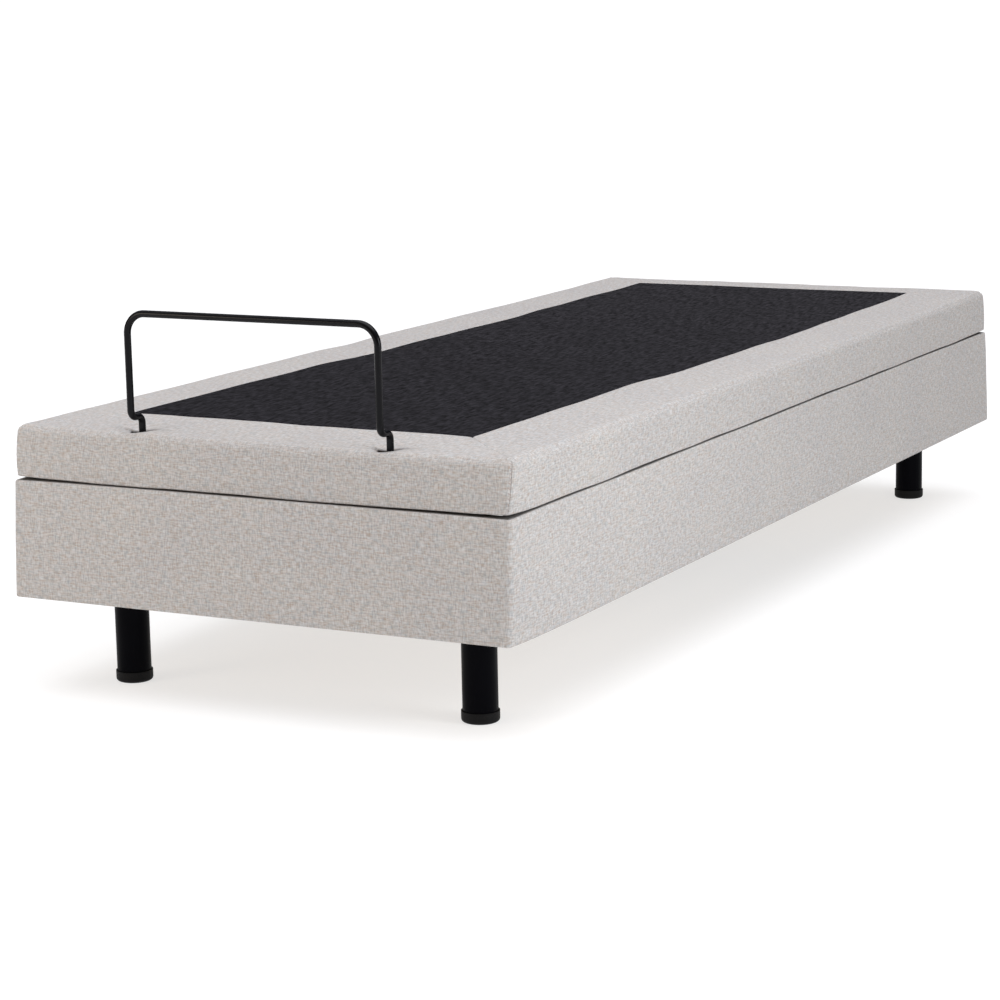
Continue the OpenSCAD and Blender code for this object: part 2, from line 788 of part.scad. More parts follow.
// Power inlet: a recessed socket with three blades in the end of the control box
module power_inlet() {
    x0 = frame_in_x - control[0] + 12;
    y1 = control_y + control[1] / 2;
    lo = [x0, y1 - 20, control_z - 14];
    hi = [x0 + 28, y1 + 1, control_z + 6];
    color(black) {
        difference() {
            block(lo, hi);
            block(lo + [2.5, 3, 2.5], hi + [-2.5, eps, -2.5]);
        }
        for (dx = [7, 14, 21]) block([x0 + dx - 1, y1 - 17.5, control_z - 6], [x0 + dx + 1, y1 - 3, control_z - 2]);
    }
}

// A motor lead: along the frame rail from the control box, round one bend and across to a gearbox
module lead(x, turn_y, end_x) {
    start_y = control_y - control[1] / 2 + 3;
    rod_y(lead_r, turn_y + lead_bend_r, start_y, x, lead_z);
    translate([x - lead_bend_r, turn_y + lead_bend_r, lead_z])
        rotate([0, 0, -90]) rotate_extrude(angle = 90) translate([lead_bend_r, 0]) circle(r = lead_r);
    rod_x(lead_r, end_x, x - lead_bend_r, [turn_y, lead_z]);
}

module motor_leads() {
    leg_side_x = leg_drive_x + gearbox[0] / 2 + motor_off;
    back_side_x = back_drive_x + gearbox[0] / 2;
    color(black) {
        lead(lead_x - lead_pitch, leg_gearbox_y - gearbox[1] / 2, leg_side_x);
        lead(lead_x, back_gearbox_y + gearbox[1] / 2, back_side_x);
    }
}

// ---- Retainer bar ----

module retainer_sockets() {
    color(bright) both_sides() difference() {
        union() {
            translate([bar_x, bar_y, board_z1]) cylinder(r = socket_r, h = socket_z1 - board_z1);
            block([bar_x - socket_plate / 2, bar_y - 20, board_z1], [bar_x + socket_plate / 2, bar_y + 20, board_z1 + 2]);
        }
        translate([bar_x, bar_y, board_z1 + 2]) cylinder(r = bar_r + clearance, h = deck_h);
    }
}

// A quarter bend of the bar in the YZ plane, turning from one axis to the other about a centre
module bar_elbow(x, c, start) {
    translate([x, c[0], c[1]]) rotate([0, 90, 0]) rotate([0, 0, start])
        rotate_extrude(angle = 90) translate([jog_bend_r, 0]) circle(r = bar_r);
}

module retainer_bar() {
    upright_y = bar_y - bar_jog;
    low_c = [bar_y - jog_bend_r, bar_jog_z - jog_bend_r];
    high_c = [upright_y + jog_bend_r, bar_jog_z + jog_bend_r];
    color(black) {
        both_sides() {
            translate([bar_x, bar_y, bar_z0]) cylinder(r = bar_r, h = low_c[1] - bar_z0);
            bar_elbow(bar_x, low_c, 90);
            rod_y(bar_r, high_c[0], low_c[0], bar_x, bar_jog_z);
            bar_elbow(bar_x, high_c, -90);
            translate([bar_x, upright_y, high_c[1]]) cylinder(r = bar_r, h = bar_top_z - bar_bend_r - high_c[1]);
            translate([bar_x - bar_bend_r, upright_y, bar_top_z - bar_bend_r]) rotate([90, 0, 0])
                rotate_extrude(angle = 90) translate([bar_bend_r, 0]) circle(r = bar_r);
        }
        rod_x(bar_r, -bar_x + bar_bend_r, bar_x - bar_bend_r, [upright_y, bar_top_z]);
    }
}

// ---- Assembly ----

side_rail_left();
side_rail_right();
foot_rail();
head_rail();
corner_plates();
surround_cover();
leg_foot_left();
leg_foot_right();
leg_head_left();
leg_head_right();
foot_caps();
leg_bolts();
frame_rails();
frame_crossbars();
frame_bolts();
rest_bumpers();
shaft_bearings();
actuator_brackets();
actuator_gearboxes();
actuator_tubes();
actuator_motors();
control_box();
control_lid();
power_inlet();
motor_leads();
seat_rails();
seat_crossbars();
seat_board();
seat_foam();
seat_cover();
seat_grip();
hinge_pins();
back_rails();
back_crossbars();
back_board();
back_foam();
back_cover();
back_grip();
thigh_rails();
thigh_crossbars();
thigh_board();
thigh_foam();
thigh_cover();
thigh_grip();
knee_pins();
calf_rails();
calf_crossbars();
calf_board();
calf_foam();
calf_cover();
calf_grip();
retainer_sockets();
retainer_bar();
back_lift_arm();
back_rollers();
back_push_rod();
leg_lift_arm();
leg_rollers();
leg_push_rod();
link_bars();
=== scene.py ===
"""Looks of an adjustable bed base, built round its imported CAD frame.

Everything is in metres in the frame's own axes: X across the bed, +Y to the head end, Z up.
The covers are sewn panels over foam: each starts as a grid of lines on a sharp block, and the same
few functions then round its edges, crown its faces and press in its seams, so that neighbouring
pieces meet without a step."""

import json
import math

import bpy
import numpy as np
from mathutils import Matrix, Vector


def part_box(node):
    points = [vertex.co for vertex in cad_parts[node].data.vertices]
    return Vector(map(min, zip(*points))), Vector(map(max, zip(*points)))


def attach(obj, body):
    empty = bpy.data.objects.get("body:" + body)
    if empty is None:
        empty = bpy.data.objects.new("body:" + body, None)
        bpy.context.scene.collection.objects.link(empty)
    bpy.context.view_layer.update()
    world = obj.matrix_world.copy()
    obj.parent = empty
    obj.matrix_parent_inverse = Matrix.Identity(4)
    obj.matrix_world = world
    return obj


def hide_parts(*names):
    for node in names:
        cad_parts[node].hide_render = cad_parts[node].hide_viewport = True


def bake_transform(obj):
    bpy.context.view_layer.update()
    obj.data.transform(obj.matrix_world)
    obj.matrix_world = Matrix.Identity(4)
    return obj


MM = 0.001
# Points and lines closer than this count as the same
hair = 0.1 * MM

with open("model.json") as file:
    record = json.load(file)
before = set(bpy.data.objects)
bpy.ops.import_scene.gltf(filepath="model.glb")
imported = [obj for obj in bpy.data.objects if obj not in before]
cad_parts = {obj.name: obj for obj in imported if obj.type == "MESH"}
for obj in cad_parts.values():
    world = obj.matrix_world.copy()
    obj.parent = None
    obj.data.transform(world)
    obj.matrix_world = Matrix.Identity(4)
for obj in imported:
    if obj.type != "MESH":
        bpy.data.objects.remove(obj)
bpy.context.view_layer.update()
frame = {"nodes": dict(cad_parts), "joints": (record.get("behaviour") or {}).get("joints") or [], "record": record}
joints = {joint["name"]: joint for joint in frame["joints"]}


# ---- Places taken from the frame ----

box_lo, box_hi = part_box("surround_cover")
deck_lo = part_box("calf_cover")[0]
deck_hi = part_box("back_cover")[1]
grip_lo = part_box("calf_grip")[0]
grip_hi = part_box("back_grip")[1]
socket_lo, socket_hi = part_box("retainer_sockets")
bar_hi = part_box("retainer_bar")[1]

half_w = box_hi.x
box_half_len = box_hi.y
deck_half_len = deck_hi.y
box_top_z = box_hi.z - 1.4 * MM
# The covers hang past the boards to just above the box
deck_z0 = box_top_z + 1.6 * MM
deck_z1 = deck_hi.z
deck_mid_z = (deck_z0 + deck_z1) / 2
border_side = half_w - grip_hi.x
border_foot = grip_lo.y - deck_lo.y
border_head = deck_hi.y - grip_hi.y

hinge_z = joints["back_lift"]["pos_m"][2]
back_hinge_y = joints["back_lift"]["pos_m"][1]
thigh_hinge_y = joints["thigh_lift"]["pos_m"][1]
knee_y = joints["calf_level"]["pos_m"][1]

bar_r = 5 * MM
post_x = bar_hi.x - bar_r
post_y = (socket_lo.y + socket_hi.y) / 2

# The cover is cut where it never bends: in the middle of the seat and of the thigh section
seat_cut_y = (back_hinge_y + thigh_hinge_y) / 2
thigh_cut_y = knee_y + 140 * MM


# ---- Small helpers ----


def smooth(t):
    """An eased step: 0 up to t = 0, 1 from t = 1."""
    t = np.clip(t, 0, 1)
    return t * t * (3 - 2 * t)


def bell(d, width):
    """One where d is zero, fading to almost nothing by twice the width."""
    return np.exp(-((d / width) ** 2))


def sine(x, length, phase=0.0):
    """A sine of x that repeats after the length."""
    return np.sin(x * 2 * math.pi / length + phase)


def ripple(p, length, seed):
    """Smooth uneven waves from -1 to 1 over points p, about length from crest to crest."""
    rng = np.random.default_rng(seed)
    total = np.zeros(len(p))
    count = 6
    for _ in range(count):
        way = rng.normal(size=3)
        way *= 2 * math.pi / length * rng.uniform(0.6, 1.5) / np.linalg.norm(way)
        total += np.sin(p @ way + rng.uniform(0, 2 * math.pi))
    return total / math.sqrt(count)


def graded(count):
    """Steps from 0 to 1 that are finer near both ends."""
    i = np.linspace(0, 1, count + 1)
    return 0.6 * (1 - np.cos(math.pi * i)) / 2 + 0.4 * i


def even(a, b, step):
    """Lines from a to b, about a step apart."""
    return np.linspace(a, b, max(1, round(abs(b - a) / step)) + 1)


def joined(*parts):
    """Grid lines in order, with lines less than a hair apart taken as one."""
    lines = np.sort(np.concatenate(parts))
    return lines[np.concatenate([[True], np.diff(lines) > hair])]


def make_object(name, points, faces, uvs=None, values=None):
    """A smooth mesh object; uvs holds a pair per face corner and values named numbers per point."""
    mesh = bpy.data.meshes.new(name)
    mesh.from_pydata([tuple(p) for p in points], [], faces)
    mesh.polygons.foreach_set("use_smooth", [True] * len(faces))
    if uvs is not None:
        layer = mesh.uv_layers.new(name="weave")
        layer.data.foreach_set("uv", np.asarray(uvs, np.float32).ravel())
    for key, numbers in (values or {}).items():
        attribute = mesh.attributes.new(key, "FLOAT", "POINT")
        attribute.data.foreach_set("value", np.asarray(numbers, np.float32))
    mesh.update()
    obj = bpy.data.objects.new(name, mesh)
    bpy.context.scene.collection.objects.link(obj)
    return obj


def crease_rim(obj):
    """Keeps the shading of a skin free of its thin rim, so that pieces meet without a line."""
    mesh = obj.data
    uses = np.zeros(len(mesh.edges), int)
    for polygon in mesh.polygons:
        uses[[mesh.loops[i].edge_index for i in polygon.loop_indices]] += 1
    for i in np.nonzero(uses == 1)[0]:
        mesh.edges[i].use_edge_sharp = True


def make_skin(obj, fabric, thickness):
    """Gives a skin its fabric, its thickness inwards, and the lining on its inner faces."""
    obj.data.materials.append(fabric)
    obj.data.materials.append(lining)
    modifier = obj.modifiers.new("thickness", "SOLIDIFY")
    modifier.thickness = thickness
    modifier.offset = -1
    modifier.use_even_offset = False
    modifier.material_offset = 1
    modifier.material_offset_rim = 0


# ---- Material helpers ----


class Nodes:
    """Short forms for adding nodes to a node tree and linking them."""

    def __init__(self, tree):
        self.tree = tree

    def node(self, kind, **settings):
        made = self.tree.nodes.new(kind)
        for key, value in settings.items():
            setattr(made, key, value)
        return made

    def link(self, source, target):
        self.tree.links.new(source, target)

    def put(self, socket, value):
        if isinstance(value, bpy.types.NodeSocket):
            self.link(value, socket)
        else:
            socket.default_value = value

    def math(self, operation, a, b=0.0):
        made = self.node("ShaderNodeMath", operation=operation)
        self.put(made.inputs[0], a)
        self.put(made.inputs[1], b)
        return made.outputs[0]

    def axis(self, vector, name):
        made = self.node("ShaderNodeSeparateXYZ")
        self.link(vector, made.inputs[0])
        return made.outputs[name]

    def stretched(self, vector, scale):
        made = self.node("ShaderNodeMapping")
        self.link(vector, made.inputs["Vector"])
        made.inputs["Scale"].default_value = scale
        return made.outputs[0]

    def noise(self, vector, scale, detail=2.0, roughness=0.5, distortion=0.0):
        """Noise with its own scale on each axis, in features per metre."""
        made = self.node("ShaderNodeTexNoise")
        self.link(self.stretched(vector, scale), made.inputs["Vector"])
        made.inputs["Scale"].default_value = 1.0
        made.inputs["Detail"].default_value = detail
        made.inputs["Roughness"].default_value = roughness
        made.inputs["Distortion"].default_value = distortion
        return made.outputs["Fac"]

    def between(self, value, low, high, to_low=0.0, to_high=1.0):
        made = self.node("ShaderNodeMapRange", interpolation_type="SMOOTHSTEP")
        self.link(value, made.inputs["Value"])
        made.inputs["From Min"].default_value = low
        made.inputs["From Max"].default_value = high
        made.inputs["To Min"].default_value = to_low
        made.inputs["To Max"].default_value = to_high
        return made.outputs[0]

    def mix(self, factor, a, b, blend="MIX"):
        made = self.node("ShaderNodeMix", data_type="RGBA", blend_type=blend)
        self.put(made.inputs["Factor"], factor)
        self.put(made.inputs[6], a)
        self.put(made.inputs[7], b)
        return made.outputs[2]


class Shader(Nodes):
    """A procedural material under construction, round one Principled shader."""

    def __init__(self, name):
        self.material = bpy.data.materials.new(name)
        self.material.use_nodes = True
        super().__init__(self.material.node_tree)
        self.bsdf = self.tree.nodes["Principled BSDF"]

    def uv(self):
        return self.node("ShaderNodeUVMap", uv_map="weave").outputs[0]

    def place(self):
        return self.node("ShaderNodeTexCoord").outputs["Object"]

    def attribute(self, name):
        return self.node("ShaderNodeAttribute", attribute_name=name).outputs["Fac"]

    def bump(self, height, distance, strength=1.0, after=None):
        made = self.node("ShaderNodeBump")
        made.inputs["Strength"].default_value = strength
        made.inputs["Distance"].default_value = distance
        self.link(height, made.inputs["Height"])
        if after is not None:
            self.link(after, made.inputs["Normal"])
        return made.outputs[0]

    def finish(self, color, roughness, normal=None, **sockets):
        self.put(self.bsdf.inputs["Base Color"], color)
        self.put(self.bsdf.inputs["Roughness"], roughness)
        if normal is not None:
            self.link(normal, self.bsdf.inputs["Normal"])
        for key, value in sockets.items():
            self.bsdf.inputs[key.replace("_", " ")].default_value = value
        return self.material


def rgb(r, g, b):
    return (r, g, b, 1.0)


def times(color, factor):
    """The colour with every channel multiplied."""
    return rgb(*(channel * factor for channel in color[:3]))


# ---- Fabric materials ----

stitch_pitch = 7.5 * MM


def linen_material():
    """Heathered plain weave: tan, grey-blue and pale yarns of uneven thickness, crossing."""
    s = Shader("linen")
    uv = s.uv()
    weft = s.between(s.noise(uv, (100, 450, 1), detail=1.4, roughness=0.6), 0.38, 0.62)
    warp = s.between(s.noise(uv, (465, 95, 1), detail=1.4, roughness=0.6), 0.38, 0.62)
    weft_hue = s.between(s.noise(uv, (60, 260, 1), detail=2.0), 0.42, 0.58)
    warp_hue = s.between(s.noise(uv, (270, 56, 1), detail=2.0), 0.42, 0.58)
    patch = s.between(s.noise(uv, (9, 9, 1), detail=3.0), 0.3, 0.7)
    tan, blue = rgb(0.395, 0.335, 0.29), rgb(0.345, 0.357, 0.365)
    pale, rose = rgb(0.575, 0.578, 0.58), rgb(0.55, 0.515, 0.495)
    across = s.mix(weft, s.mix(weft_hue, tan, blue), s.mix(warp_hue, pale, rose))
    along = s.mix(warp, s.mix(warp_hue, tan, blue), s.mix(weft_hue, rose, pale))
    yarns = s.mix(0.5, across, along)
    tone = s.mix(patch, rgb(0.965, 0.965, 0.97), rgb(1.0, 0.995, 0.985))
    color = s.mix(1.0, yarns, tone, "MULTIPLY")
    seam = s.attribute("seam")
    upright = s.attribute("stitch")
    # Painted shade: the seams' creases are darkened, most at the upright corner seams, with dashes of shade where
    # the stitches pull the cloth
    line = s.between(seam, 0.2 * MM, 1.3 * MM, 1.0, 0.0)
    steps = s.math("ADD", s.axis(s.place(), "Y"), s.axis(s.place(), "Z"))
    rungs = s.between(s.math("SINE", s.math("MULTIPLY", steps, 2 * math.pi / stitch_pitch)), 0.3, 0.8)
    stitch_pull_shade = s.math("MULTIPLY", s.between(seam, 4.5 * MM, 7.5 * MM, 1.0, 0.0), rungs)
    stitch_pull_shade = s.math("MULTIPLY", stitch_pull_shade, upright)
    # Painted shade from the attribute: the slits' creases and the hems in the gap between deck and box are
    # darkened
    fold = s.attribute("fold")
    seam_crease_shade = s.math("ADD", s.math("MULTIPLY", upright, 0.25), 0.07)
    color = s.mix(s.math("MULTIPLY", line, seam_crease_shade), color, rgb(0.28, 0.20, 0.165))
    color = s.mix(s.math("MULTIPLY", stitch_pull_shade, 0.40), color, rgb(0.30, 0.22, 0.19))
    color = s.mix(s.math("MULTIPLY", fold, 0.95), color, rgb(0.03, 0.024, 0.022))
    relief = s.math("ADD", weft, warp)
    normal = s.bump(relief, 0.45 * MM, 0.6)
    normal = s.bump(s.math("SUBTRACT", 1.0, line), 0.8 * MM, 0.7, after=normal)
    return s.finish(color, 0.95, normal, Sheen_Weight=0.08, Sheen_Roughness=0.5, Specular_IOR_Level=0.1)


def grip_material():
    """Needled anti-slip felt: charcoal, speckled and streaked, with painted shade making it a little darker to the
    foot end.
    """
    s = Shader("anti_slip_felt")
    uv = s.uv()
    streak = s.between(s.noise(uv, (85, 38, 1), detail=2.5, roughness=0.6), 0.40, 0.60)
    rib = s.between(s.noise(uv, (230, 26, 1), detail=2.5), 0.40, 0.60)
    speck = s.between(s.noise(uv, (210, 60, 1), detail=2.5), 0.42, 0.60)
    cloud = s.between(s.noise(uv, (7, 7, 1), detail=3.0), 0.3, 0.7)
    shade = s.math("ADD", s.math("MULTIPLY", streak, 0.22), s.math("MULTIPLY", rib, 0.35))
    shade = s.math("ADD", shade, s.math("MULTIPLY", speck, 0.43))
    color = s.mix(shade, rgb(0.003, 0.0029, 0.0037), rgb(0.0345, 0.0325, 0.0375))
    # Painted shade: the felt's colour is darkened towards the foot end
    foot_end_shade = s.mix(1.0, color, rgb(0.70, 0.70, 0.73), "MULTIPLY")
    color = s.mix(s.between(s.axis(s.place(), "Y"), -0.95, 0.95), foot_end_shade, color)
    color = s.mix(1.0, color, s.mix(cloud, rgb(1.0, 1.0, 1.0), rgb(1.16, 1.16, 1.16)), "MULTIPLY")
    normal = s.bump(shade, 0.6 * MM, 0.7)
    return s.finish(color, 0.95, normal, Sheen_Weight=0.01, Sheen_Roughness=0.6, Specular_IOR_Level=0.05)


def lining_material():
    """The back of the covers: pale backing cloth laminated to foam."""
    s = Shader("foam_backing")
    cell = s.noise(s.place(), (900, 900, 900), detail=2.0)
    color = s.mix(cell, rgb(0.62, 0.57, 0.46), rgb(0.80, 0.76, 0.66))
    return s.finish(color, 0.95, s.bump(cell, 0.4 * MM, 0.5))


linen = linen_material()
grip_felt = grip_material()
lining = lining_material()


# ---- Deck cover and panel ----

corner_top_r = 15 * MM
corner_low_r = 7 * MM
edge_top_r = 16 * MM
edge_low_r = 3.5 * MM
crown_h = 2.2 * MM
crown_reach = 170 * MM
top_drop = 0.6 * MM
still_half = 9 * MM
bed_step = 8 * MM
hem_w = 40 * MM
skin_t = 1.4 * MM
panel_t = 1.2 * MM
slit_half = 13 * MM
cuts = (seat_cut_y, thigh_cut_y)
stretches = {
    "head": (cuts[0], math.inf),
    "middle": (cuts[1], cuts[0]),
    "foot": (-math.inf, cuts[1]),
}


def panel_drift(y):
    """How far the dark panel, sewn in by hand, wanders sideways along the bed."""
    drift = -10 * MM + 13 * MM * smooth((y + 345 * MM) / (165 * MM))
    drift += 5 * MM * smooth((y - 110 * MM) / (100 * MM)) - 8 * MM * smooth((y - 285 * MM) / (150 * MM))
    return drift - 3 * MM * smooth((y - 470 * MM) / (160 * MM))


def near_corner(p, reach):
    """One at the foot end's right corner, fading out over about the reach."""
    return np.exp(-np.hypot(half_w - p[:, 0], deck_half_len + p[:, 1]) / reach)


def sag(p):
    """How far the top sags below its nominal level: more to the right and at the foot end."""
    sides = 2.2 * MM + 2.6 * MM * smooth((p[:, 0] + half_w) / (2 * half_w))
    along = 1 - 0.8 * smooth((p[:, 1] - 700 * MM) / (250 * MM))
    foot = 1.8 * MM * smooth((-800 * MM - p[:, 1]) / (120 * MM))
    corner = corner_distance(p, deck_half_len)
    return (sides * along + foot) * (1 - np.exp(-corner / (50 * MM)))


def held(p):
    """Points with the stretch round each cut drawn together, so that nothing changes across a cut."""
    made = p.copy()
    for cut in cuts:
        away = made[:, 1] - cut
        made[:, 1] = cut + np.sign(away) * np.maximum(np.abs(away) - still_half, 0)
    return made


def end_border(y):
    """Width of the plain border at the nearer end."""
    return np.where(y > 0, border_head, border_foot)


def edge_distance(p):
    """Distance inwards from the nearer outer side of the deck, seen from above."""
    return np.minimum(half_w - np.abs(p[:, 0]), deck_half_len - np.abs(p[:, 1]))


def corner_distance(p, half_len):
    """Distance from the nearest upright corner, seen from above."""
    return np.hypot(half_w - np.abs(p[:, 0]), half_len - np.abs(p[:, 1]))


def crown_height(p):
    """How far the padding rises above the outer edge."""
    return crown_h * smooth(edge_distance(p) / crown_reach)


def slow_waves(calm):
    """Unevenness of the padding that the cover and the panel share."""
    return 0.5 * MM * ripple(calm, 260 * MM, seed=11)


def border_shares(p):
    """How far a point lies across the side border and across the end border, from the outer edge."""
    from_side, from_end = half_w - np.abs(p[:, 0]), deck_half_len - np.abs(p[:, 1])
    return from_side / border_side, from_end / end_border(p[:, 1])


def mitre_distance(p):
    """Distance from the mitre seams on top; a metre everywhere else."""
    across, along = border_shares(p)
    distance = np.abs(across - along) * border_side * end_border(p[:, 1])
    distance /= np.hypot(border_side, end_border(p[:, 1]))
    on_border = (np.minimum(across, along) < 1.001) & (p[:, 2] > deck_z1 - hair)
    return np.where(on_border, distance, 1.0)


def upright_distance(p):
    """Distance from the upright seams at the corners; a metre off the outer walls."""
    from_side, from_end = half_w - np.abs(p[:, 0]), deck_half_len - np.abs(p[:, 1])
    on_wall = (np.minimum(from_side, from_end) < hair) & (p[:, 2] > deck_z0 + hair)
    return np.where(on_wall, np.maximum(from_side, from_end), 1.0)


def rounded(p):
    """Moves points of the sharp deck block onto the rounded one, and gives the way out there."""
    height = smooth((p[:, 2] - deck_z0) / (deck_z1 - deck_z0))
    r = corner_low_r + (corner_top_r - corner_low_r) * height
    rz = np.where(p[:, 2] > deck_mid_z, edge_top_r, edge_low_r)
    radius = np.stack([r, r, rz], axis=1)
    low = np.array([-half_w, -deck_half_len, deck_z0]) + radius
    high = np.array([half_w, deck_half_len, deck_z1]) - radius
    core = np.clip(p, low, high)
    q = (p - core) / radius
    q /= np.maximum(np.linalg.norm(q, axis=1, keepdims=True), 1)
    out = q / radius
    out /= np.maximum(np.linalg.norm(out, axis=1, keepdims=True), 1e-9)
    return core + q * radius, out


def slit_frame(p):
    """Place of points about the nearer post: along its slit, and across it from the foot side."""
    return p[:, 0] - np.sign(p[:, 0]) * post_x, p[:, 1] - post_y


def slit_shape(p):
    """Shift along the bed and drop near the slits: both lips are pressed down and part round the post."""
    along, dy = slit_frame(p)
    far = np.abs(along)
    bend = 11 * MM * smooth(far / (30 * MM)) * bell(dy, 26 * MM)
    parted = 4.6 * MM * np.clip(1 - (far / slit_half) ** 2, 0, 1) - 0.4 * MM
    part = np.sign(dy) * parted * bell(dy, 6 * MM)
    deep = 9 * MM * bell(far, 22 * MM)
    front = deep * np.exp(-np.abs(dy) / (14 * MM))
    back = 0.72 * deep * np.exp(-np.abs(dy) / (22 * MM))
    return (bend + part) * smooth(1 - far / (60 * MM)), np.where(dy < 0, front, back)


def fold_mark(p):
    """Depth of painted shade in the crease that runs out of each slit, longer on its right."""
    along, dy = slit_frame(p)
    length = np.where(along > 0, 26 * MM, 16 * MM)
    width = np.where(along > 0, 6 * MM, 4 * MM)
    return (0.85 * bell(along, length) + 0.15 * bell(along, 2.2 * length)) * bell(dy - 0.4 * width, width)


def seam_height(p):
    """Height at the seams: pressed in along the thread, puckered beside it."""
    mitre, corner_seam = mitre_distance(p), upright_distance(p)
    seam = np.minimum(mitre, corner_seam)
    press = -0.7 * MM * bell(seam, 2.0 * MM) + 0.25 * MM * bell(seam - 6 * MM, 4 * MM)
    along = p[:, 2] + p[:, 1]
    pull = 0.45 * MM * np.exp(-corner_seam / (5 * MM)) * sine(along, 9 * MM)
    pull += 0.3 * MM * np.exp(-mitre / (7 * MM)) * sine(along, 23 * MM)
    return press + pull


def hem_rise(p, calm):
    """How far the hem lifts off the box: most at the corners, and in slow waves along the sides."""
    corner = corner_distance(p, deck_half_len)
    low = smooth(1 - (p[:, 2] - deck_z0) / (34 * MM))
    wave = 0.3 * MM * sine(calm[:, 1], 610 * MM, 1.0 + p[:, 0] / (90 * MM))
    near_side = 0.2 * MM * smooth(p[:, 0] / half_w) * smooth((0.3 - calm[:, 1]) / 1.2)
    return low * (2.7 * MM * np.exp(-corner / (55 * MM)) + wave + near_side - 0.6 * MM)


def deck_surface(p):
    """Sharp deck block to sewn cover: rounded, crowned, pressed in along its seams."""
    calm = held(p)
    made, out = rounded(p)
    on_top = smooth((p[:, 2] - (deck_z1 - 2 * MM)) / (2 * MM))
    on_hem = p[:, 2] < deck_z0 + hair
    upright = 1 - np.abs(out[:, 2])
    lift = (p[:, 2] - deck_mid_z) / (deck_z1 - deck_mid_z)
    swell = -np.where(lift > 0, 3.0 * MM, 1.8 * MM) * np.abs(lift) ** 2.4 * upright
    crown = on_top * (crown_height(p) - 1.4 * MM * bell(edge_distance(p), 40 * MM))
    uneven = slow_waves(calm) + 0.25 * MM * ripple(calm, 90 * MM, seed=12)
    made = made + out * (swell + crown + uneven - top_drop + seam_height(p))[:, None]
    along_bed, down = slit_shape(p)
    made[:, 1] += along_bed * on_top
    made[:, 2] -= down * on_top + sag(calm) * np.maximum(lift, 0)
    pulled = near_corner(p, 45 * MM)
    made[:, 0] += pulled * (0.5 + 3.5 * lift) * MM
    made[:, 1] += pulled * 3 * lift * MM
    made[:, 2] += hem_rise(p, calm)
    made[on_hem, 2] = np.maximum(made[on_hem, 2], box_top_z + 0.6 * MM)
    # The border turns down at the dark panel's seam and runs on below the panel
    past_side = np.abs(p[:, 0]) - grip_hi.x
    inside = np.maximum(past_side, np.maximum(p[:, 1] - grip_hi.y, grip_lo.y - p[:, 1]))
    tucked = 0.7 * MM * bell(np.maximum(inside, 0), 2.2 * MM) + 2.4 * MM * smooth(-inside / (4 * MM))
    made[:, 2] -= on_top * tucked
    follow = smooth(1 - np.maximum(past_side, 0) / (100 * MM)) * on_top
    made[:, 0] += panel_drift(calm[:, 1]) * follow
    return made


class Block:
    """Faces on a block's grid of lines, with shared corners and unrolled coordinates per sewn panel."""

    def __init__(self, xs, ys, zs):
        self.lines = (xs, ys, zs)
        self.known = {}
        self.points = []
        self.faces = []
        self.uvs = []

    def corner(self, i, j, k):
        """Number of the point where three grid lines cross, made when it is first asked for."""
        if (i, j, k) not in self.known:
            self.known[i, j, k] = len(self.points)
            self.points.append((self.lines[0][i], self.lines[1][j], self.lines[2][k]))
        return self.known[i, j, k]

    def unrolled(self, point, on_end):
        """Weave coordinates: each of the four borders is unrolled from a place of its own."""
        x, y, z = point
        inward = deck_half_len - abs(y) if on_end else half_w - abs(x)
        if z > deck_z1 - hair:
            down = -inward
        elif z < deck_z0 + hair:
            down = deck_z1 - deck_z0 + inward
        else:
            down = deck_z1 - z
        if on_end:
            return (x + 3 * math.copysign(1, y), down + 7)
        return (y + 11 * math.copysign(1, x), down)

    def face(self, corners):
        """Adds a face, unrolled with the border that its middle lies on."""
        loop = [self.corner(*c) for c in corners]
        points = [self.points[v] for v in loop]
        x = sum(p[0] for p in points) / len(points)
        y = sum(p[1] for p in points) / len(points)
        end = border_head if y > 0 else border_foot
        on_end = (deck_half_len - abs(y)) / end < (half_w - abs(x)) / border_side
        self.faces.append(loop)
        self.uvs.append([self.unrolled(p, on_end) for p in points])

    def wall(self, fixed, at, first, second, flip, wanted=None):
        """All faces where one axis stays at a line; a square on a mitre seam becomes two triangles."""
        for a in range(first):
            for b in range(second):
                if wanted is not None and not wanted(a, b):
                    continue
                ring = [(a, b), (a + 1, b), (a + 1, b + 1), (a, b + 1)]
                split = self.mitre_corner(a, b) if fixed == 2 else None
                if flip:
                    ring.reverse()
                if split is not None:
                    start = ring.index(split)
                    ring = ring[start:] + ring[:start]
                corners = [c[:fixed] + (at,) + c[fixed:] for c in ring]
                if split is None:
                    self.face(corners)
                else:
                    self.face(corners[:3])
                    self.face([corners[0], corners[2], corners[3]])

    def mitre_corner(self, a, b):
        """The corner of a square where a mitre seam enters it, or None."""
        xs, ys = self.lines[0], self.lines[1]
        for first, second in (((a, b), (a + 1, b + 1)), ((a + 1, b), (a, b + 1))):
            ends = np.array([[xs[i], ys[j], 0.0] for i, j in (first, second)])
            across, along = border_shares(ends)
            if np.all(np.abs(across - along) < 1e-4) and np.all(across < 1.001):
                return first
        return None


def bed_runs(low, high):
    """Even lines along the bed from low to high, with one on each cut."""
    stops = (low, cuts[1], cuts[0], high)
    return [even(a, b, bed_step) for a, b in zip(stops, stops[1:])]


